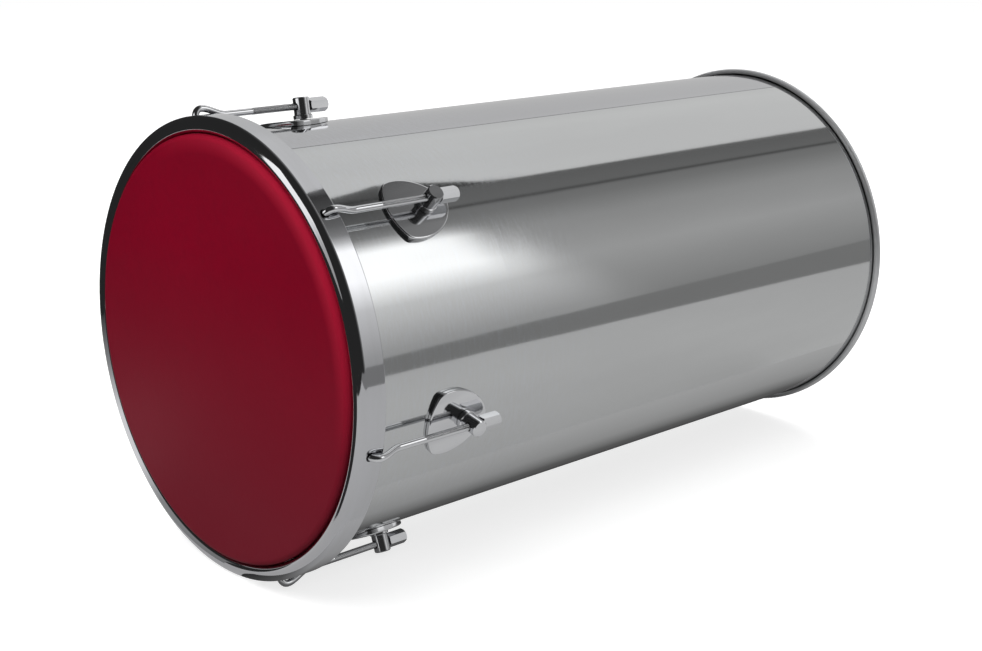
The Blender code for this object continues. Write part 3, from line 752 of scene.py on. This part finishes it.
def build_lugs():
    """Plate, post, rod and nut at each lug's angle, each kind from one mesh."""
    kinds = (("lug_plate", plate_mesh(), "shell"), ("lug_post", post_mesh(), "shell"),
             ("tension_rod", rod_mesh(), "hoop"), ("tension_nut", nut_mesh(), "nut"))
    for name, mesh, body in kinds:
        mesh.materials.clear()
        mesh.materials.append(hardware)
        for k, degrees in enumerate(LUGS):
            ob = link(bpy.data.objects.new(f"{name}_fine_{k + 1}", mesh))
            ob.matrix_world = lug_frame(degrees)
            bpy.context.view_layer.update()
            rides = f"nut_{k + 1}" if body == "nut" else body
            dress(ob, rides, f"{name}_{k + 1}")


def repaint():
    """Materials for the CAD nodes that stay."""
    kept = {"flesh_hoop": flesh_metal}
    for k in range(1, len(LUGS) + 1):
        kept[f"lug_screw_{k}"] = zinc
        kept[f"lug_washer_{k}"] = zinc
    for name, material in kept.items():
        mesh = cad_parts[name].data
        mesh.materials.clear()
        mesh.materials.append(material)


# Studio: floor, light, reflections and camera.

def ray_boost(tree, camera, glossy):
    """A strength that is camera for camera and transmission rays and glossy for glossy rays."""
    path = tree.nodes.new("ShaderNodeLightPath")
    seen = tree.nodes.new("ShaderNodeMath")
    seen.operation = "MAXIMUM"
    tree.links.new(path.outputs["Is Camera Ray"], seen.inputs[0])
    tree.links.new(path.outputs["Is Transmission Ray"], seen.inputs[1])
    first = tree.nodes.new("ShaderNodeMath")
    first.operation = "MULTIPLY"
    first.inputs[1].default_value = camera
    tree.links.new(seen.outputs[0], first.inputs[0])
    second = tree.nodes.new("ShaderNodeMath")
    second.operation = "MULTIPLY_ADD"
    second.inputs[1].default_value = glossy
    tree.links.new(path.outputs["Is Glossy Ray"], second.inputs[0])
    tree.links.new(first.outputs[0], second.inputs[2])
    return second.outputs[0]


def build_floor():
    """The pale floor. Cameras see it glow evenly into the white, and reflections see it a bit darker."""
    camera_glow, mirror_glow, mirror_share = 0.74, 0.62, 0.7
    bm = bmesh.new()
    bmesh.ops.create_grid(bm, x_segments=2, y_segments=2, size=12.0)
    mesh = bpy.data.meshes.new("studio_floor")
    bm.to_mesh(mesh)
    bm.free()
    floor = link(bpy.data.objects.new("studio_floor", mesh))
    n = Nodes("pale_floor")
    n.set(colour=(0.50, 0.50, 0.50), rough=0.9, specular=0.0)
    glow = n.add("ShaderNodeEmission", {"Strength": ray_boost(n.tree, camera_glow, 0.0)})
    both = n.add("ShaderNodeAddShader")
    n.put(both.inputs[0], n.shader.outputs[0])
    n.put(both.inputs[1], glow.outputs[0])
    path = n.add("ShaderNodeLightPath")
    even = n.add("ShaderNodeEmission", {"Strength": mirror_glow})
    share = n.math("MULTIPLY", path.outputs["Is Glossy Ray"], mirror_share)
    seen = n.add("ShaderNodeMixShader", {0: share})
    n.put(seen.inputs[1], both.outputs[0])
    n.put(seen.inputs[2], even.outputs[0])
    n.put(n.tree.nodes["Material Output"].inputs["Surface"], seen.outputs[0])
    mesh.materials.append(n.mat)


# In metres. The cards on the floor lie at three heights, so those that overlap don't meet.

SCREEN_R = 2.5
SCREEN_BACK = 9.0
LOW_CARD_Z = 0.002
CARD_Z = 0.003
HIGH_CARD_Z = 0.004


def screen_point(phi, y, radius=SCREEN_R):
    """A point in metres on a round screen about the drum's axis, phi from the top towards +X."""
    a = math.radians(phi)
    return (radius * math.sin(a), y, AXIS_Z * MM + radius * math.cos(a))


def card(name, rows, near, far=None, change=None):
    """A card that only reflections see. Its rows are pairs of points from one side to the other.

    near and far give (place, brightness) along the rows, place from 0 to 1. change gives the y
    at which near starts to give way to far, the y where far is alone, and how much both move
    from the first row to the last.
    """
    mesh = bpy.data.meshes.new(name)
    count = len(rows)
    mesh.from_pydata([p for row in rows for p in row], [],
                     [(2 * k, 2 * k + 1, 2 * k + 3, 2 * k + 2) for k in range(count - 1)])
    layer = mesh.uv_layers.new(name="run")
    for loop in mesh.loops:
        layer.data[loop.index].uv = ((loop.vertex_index // 2) / (count - 1), loop.vertex_index % 2)
    ob = link(bpy.data.objects.new(name, mesh))
    n = Nodes(name)
    run = n.add("ShaderNodeSeparateXYZ", {"Vector": n.add("ShaderNodeUVMap", uv_map="run").outputs[0]})

    def ramp(stops):
        node = n.add("ShaderNodeValToRGB", {"Fac": run.outputs[0]})
        bar = node.color_ramp
        while len(bar.elements) < len(stops):
            bar.elements.new(0.5)
        for element, (place, value) in zip(bar.elements, stops):
            element.position = place
            element.color = (value, value, value, 1.0)
        return node.outputs[0]

    colour = ramp(near)
    if far:
        y = n.add("ShaderNodeSeparateXYZ", {"Vector": n.place}).outputs[1]
        slant = n.math("MULTIPLY_ADD", run.outputs[0], change[2], y)
        share = n.add("ShaderNodeMapRange", {0: slant, 1: change[0], 2: change[1]},
                      interpolation_type="SMOOTHSTEP")
        colour = n.mix(share.outputs[0], colour, ramp(far))
    glow = n.add("ShaderNodeEmission", {"Color": colour, "Strength": 1.0})
    n.put(n.tree.nodes["Material Output"].inputs["Surface"], glow.outputs[0])
    mesh.materials.append(n.mat)
    ob.visible_camera = False
    ob.visible_diffuse = False
    ob.visible_shadow = False
    ob.visible_transmission = False


def flat_card(name, first, last, z, stops):
    """A flat card over the floor. first and last are (x, y of one end, y of the other)."""
    rows = [((x, low, z), (x, high, z)) for x, low, high in (first, last)]
    card(name, rows, stops)


def side_screen():
    """The dim side of the studio, from the floor's far edge up and over to the top."""
    first, last, steps = 103.0, 8.0, 95
    angles = [first + (last - first) * k / steps for k in range(steps + 1)]
    rows = [(screen_point(a, 1.0), screen_point(a, SCREEN_BACK)) for a in angles]

    def placed(stops):
        return [((first - phi) / (first - last), level) for phi, level in stops]

    far = placed(((103.0, 0.30), (96.0, 0.34), (62.0, 0.52), (40.0, 0.42), (27.0, 0.27), (22.5, 0.25),
                  (21.0, 0.08), (19.5, 0.20), (12.0, 0.18), (8.0, 0.16)))
    near = placed(((103.0, 0.08), (102.4, 0.12), (101.6, 0.42), (90.0, 0.50), (68.0, 0.88), (54.0, 1.75),
                   (38.5, 1.80), (34.0, 0.80), (30.5, 0.34), (25.0, 0.20), (14.0, 0.10), (8.0, 0.06)))
    card("side_screen", rows, near, far, (2.32, 2.66, 0.95))
    edge = [(screen_point(5.5, 1.36), screen_point(-1.5, 1.62)),
            (screen_point(8.2, 1.0), screen_point(8.2, 2.05))]
    card("side_edge", edge, [(0.0, 0.14), (1.0, 0.05)])
    outline = ((1.33, -1.0), (0.35, 1.5), (0.35, SCREEN_BACK))
    beyond = [((x, y, CARD_Z), (6.0, y, CARD_Z)) for x, y in outline]
    card("side_floor", beyond, [(0.0, 0.27), (1.0, 0.27)])


def back_arch():
    """The pale side of the studio behind and over the drum."""
    arch_r = 2.62
    rows = [(screen_point(a, 0.9, arch_r), screen_point(a, SCREEN_BACK, arch_r)) for a in range(-104, 9, 4)]
    card("back_arch", rows, [(0.0, 0.56), (0.25, 0.60), (0.5, 0.70), (0.62, 0.80), (1.0, 0.84)])


def front_screen():
    """The dark room in front of the head and beside it, the floor's edge there, and a painted shadow of the
    drum under it.
    """
    side, wall_y, arch_r = 4.0, -3.4, 2.6
    rows = [(screen_point(a, wall_y, arch_r), screen_point(a, 1.0, arch_r)) for a in range(-104, 105, 4)]
    dark = [(0.0, 0.03), (1.0, 0.03)]
    card("front_arch", rows, dark, [(0.0, 0.03), (0.3, 0.05), (0.5, 0.30), (1.0, 0.30)], (-0.1, 1.0, 0.0))
    card("front_wall", [((x, wall_y, 0.0), (x, wall_y, side)) for x in (-side, side)], dark)
    floor_edge = ((-side, -0.62, LOW_CARD_Z), (side, -1.1, LOW_CARD_Z))
    floor_front = ((-side, wall_y, LOW_CARD_Z), (side, wall_y, LOW_CARD_Z))
    card("front_floor", [floor_edge, floor_front], dark)
    flat_card("left_floor", (-0.60, wall_y, 0.8), (-side, wall_y, 0.8), HIGH_CARD_Z, dark)
    flat_card("near_floor", (-0.60, -1.00, -0.40), (0.05, -1.00, -0.40), HIGH_CARD_Z, dark)
    # Painted shadow: a dark card under the drum that only reflections see. It is darkest beneath the drum
    # and lighter towards +X.
    under = [((0.02 * k, -0.30, CARD_Z), (0.02 * k, 0.45, CARD_Z)) for k in range(1, 8)]
    levels = [(0.0, 0.04), (0.33, 0.12), (0.5, 0.28), (0.6, 0.38), (0.77, 0.46), (1.0, 0.55)]
    card("drum_shadow_card", under, levels)


def mirror_point(theta, beta, reach):
    """Where a light has to be to show on the hoop's roll at theta, beta degrees forward of outwards."""
    a = math.radians(theta)
    b = math.radians(beta)
    normal = Vector((math.sin(a) * math.cos(b), -math.sin(b), math.cos(a) * math.cos(b)))
    middle = drum_point(HOOP_R - HOOP_ROLL_R, HOOP_FRONT + HOOP_ROLL_R, a)
    roll = Vector(middle) + normal * HOOP_ROLL_R * MM
    ahead = (roll - Vector(CAMERA_PLACE)).normalized()
    return roll + reach * ahead.reflect(normal)


def hoop_lights():
    """The lights whose reflections run across the hoop's roll: a narrow streak, and a fill low down."""
    streak_reach, fill_reach = 0.3, 0.05
    path = ((25.0, 82.0, 88.0), (31.0, 52.0, 90.0), (37.0, 58.0, 90.0), (47.0, 54.0, 86.0),
            (57.0, 58.0, 76.0), (66.0, 62.0, 67.0))
    rows = [(mirror_point(a, low, streak_reach), mirror_point(a, high, streak_reach))
            for a, low, high in path]
    card("hoop_streak", rows, [(0.0, 0.9), (0.25, 1.6), (0.6, 1.4), (0.75, 0.6), (1.0, 0.4)])
    rows = [(mirror_point(a, 76.0, fill_reach), mirror_point(a, 124.0, fill_reach))
            for a in range(-90, -187, -6)]
    levels = [(0.0, 0.06), (0.16, 0.38), (0.32, 1.05), (0.48, 1.05), (0.64, 0.38), (1.0, 0.26)]
    card("hoop_fill", rows, levels)


def area(name, place, aim, size, watts):
    """A soft lamp that reflections don't see."""
    light = bpy.data.lights.new(name, "AREA")
    light.shape = "RECTANGLE"
    light.size, light.size_y = size
    light.energy = watts
    ob = link(bpy.data.objects.new(name, light))
    ob.location = place
    ob.rotation_euler = (Vector(aim) - Vector(place)).to_track_quat("-Z", "Y").to_euler()
    ob.visible_camera = False
    ob.visible_glossy = False


def build_light():
    """A pale world, the cards that the metal reflects, and three soft lamps."""
    world_glow, camera_boost, glossy_boost = 0.50, 0.50, 0.33
    world = bpy.data.worlds.new("studio")
    bpy.context.scene.world = world
    world.use_nodes = True
    tree = world.node_tree
    back = tree.nodes["Background"]
    back.inputs["Color"].default_value = (1.0, 1.0, 1.0, 1.0)
    strength = tree.nodes.new("ShaderNodeMath")
    strength.operation = "ADD"
    strength.inputs[1].default_value = world_glow
    tree.links.new(ray_boost(tree, camera_boost, glossy_boost), strength.inputs[0])
    tree.links.new(strength.outputs[0], back.inputs["Strength"])
    side_screen()
    back_arch()
    front_screen()
    hoop_lights()
    area("top_light", (-0.6, 0.6, 2.6), (0.0, 0.0, 0.1), (2.4, 2.4), 60.0)
    area("front_light", (0.3, -1.8, 2.1), (0.0, -0.2, 0.15), (1.6, 1.2), 20.0)
    area("upper_light", (0.9, -1.0, 1.9), (0.05, -0.28, 0.25), (0.7, 0.7), 6.0)


def build_camera():
    """The camera that was fitted to the photograph's rims and edges."""
    camera = link(bpy.data.objects.new("camera", bpy.data.cameras.new("camera")))
    ahead = Vector((-0.7161, 0.6614, -0.2228)).normalized()
    right = Vector((0.6785, 0.7346, 0.0)).normalized()
    up = right.cross(ahead)
    turn = Matrix((right, up, -ahead)).transposed().to_4x4()
    camera.matrix_world = Matrix.Translation(CAMERA_PLACE) @ turn
    camera.data.lens = 58.356
    camera.data.sensor_width = 36.0
    camera.data.shift_x = -0.0071
    camera.data.shift_y = -0.0677
    camera.data.clip_start = 0.02
    bpy.context.scene.camera = camera


build_shell()
build_edge_wire()
build_head()
build_hoop()
build_lugs()
repaint()
build_floor()
build_light()
build_camera()
bpy.context.scene.view_settings.view_transform = "Standard"
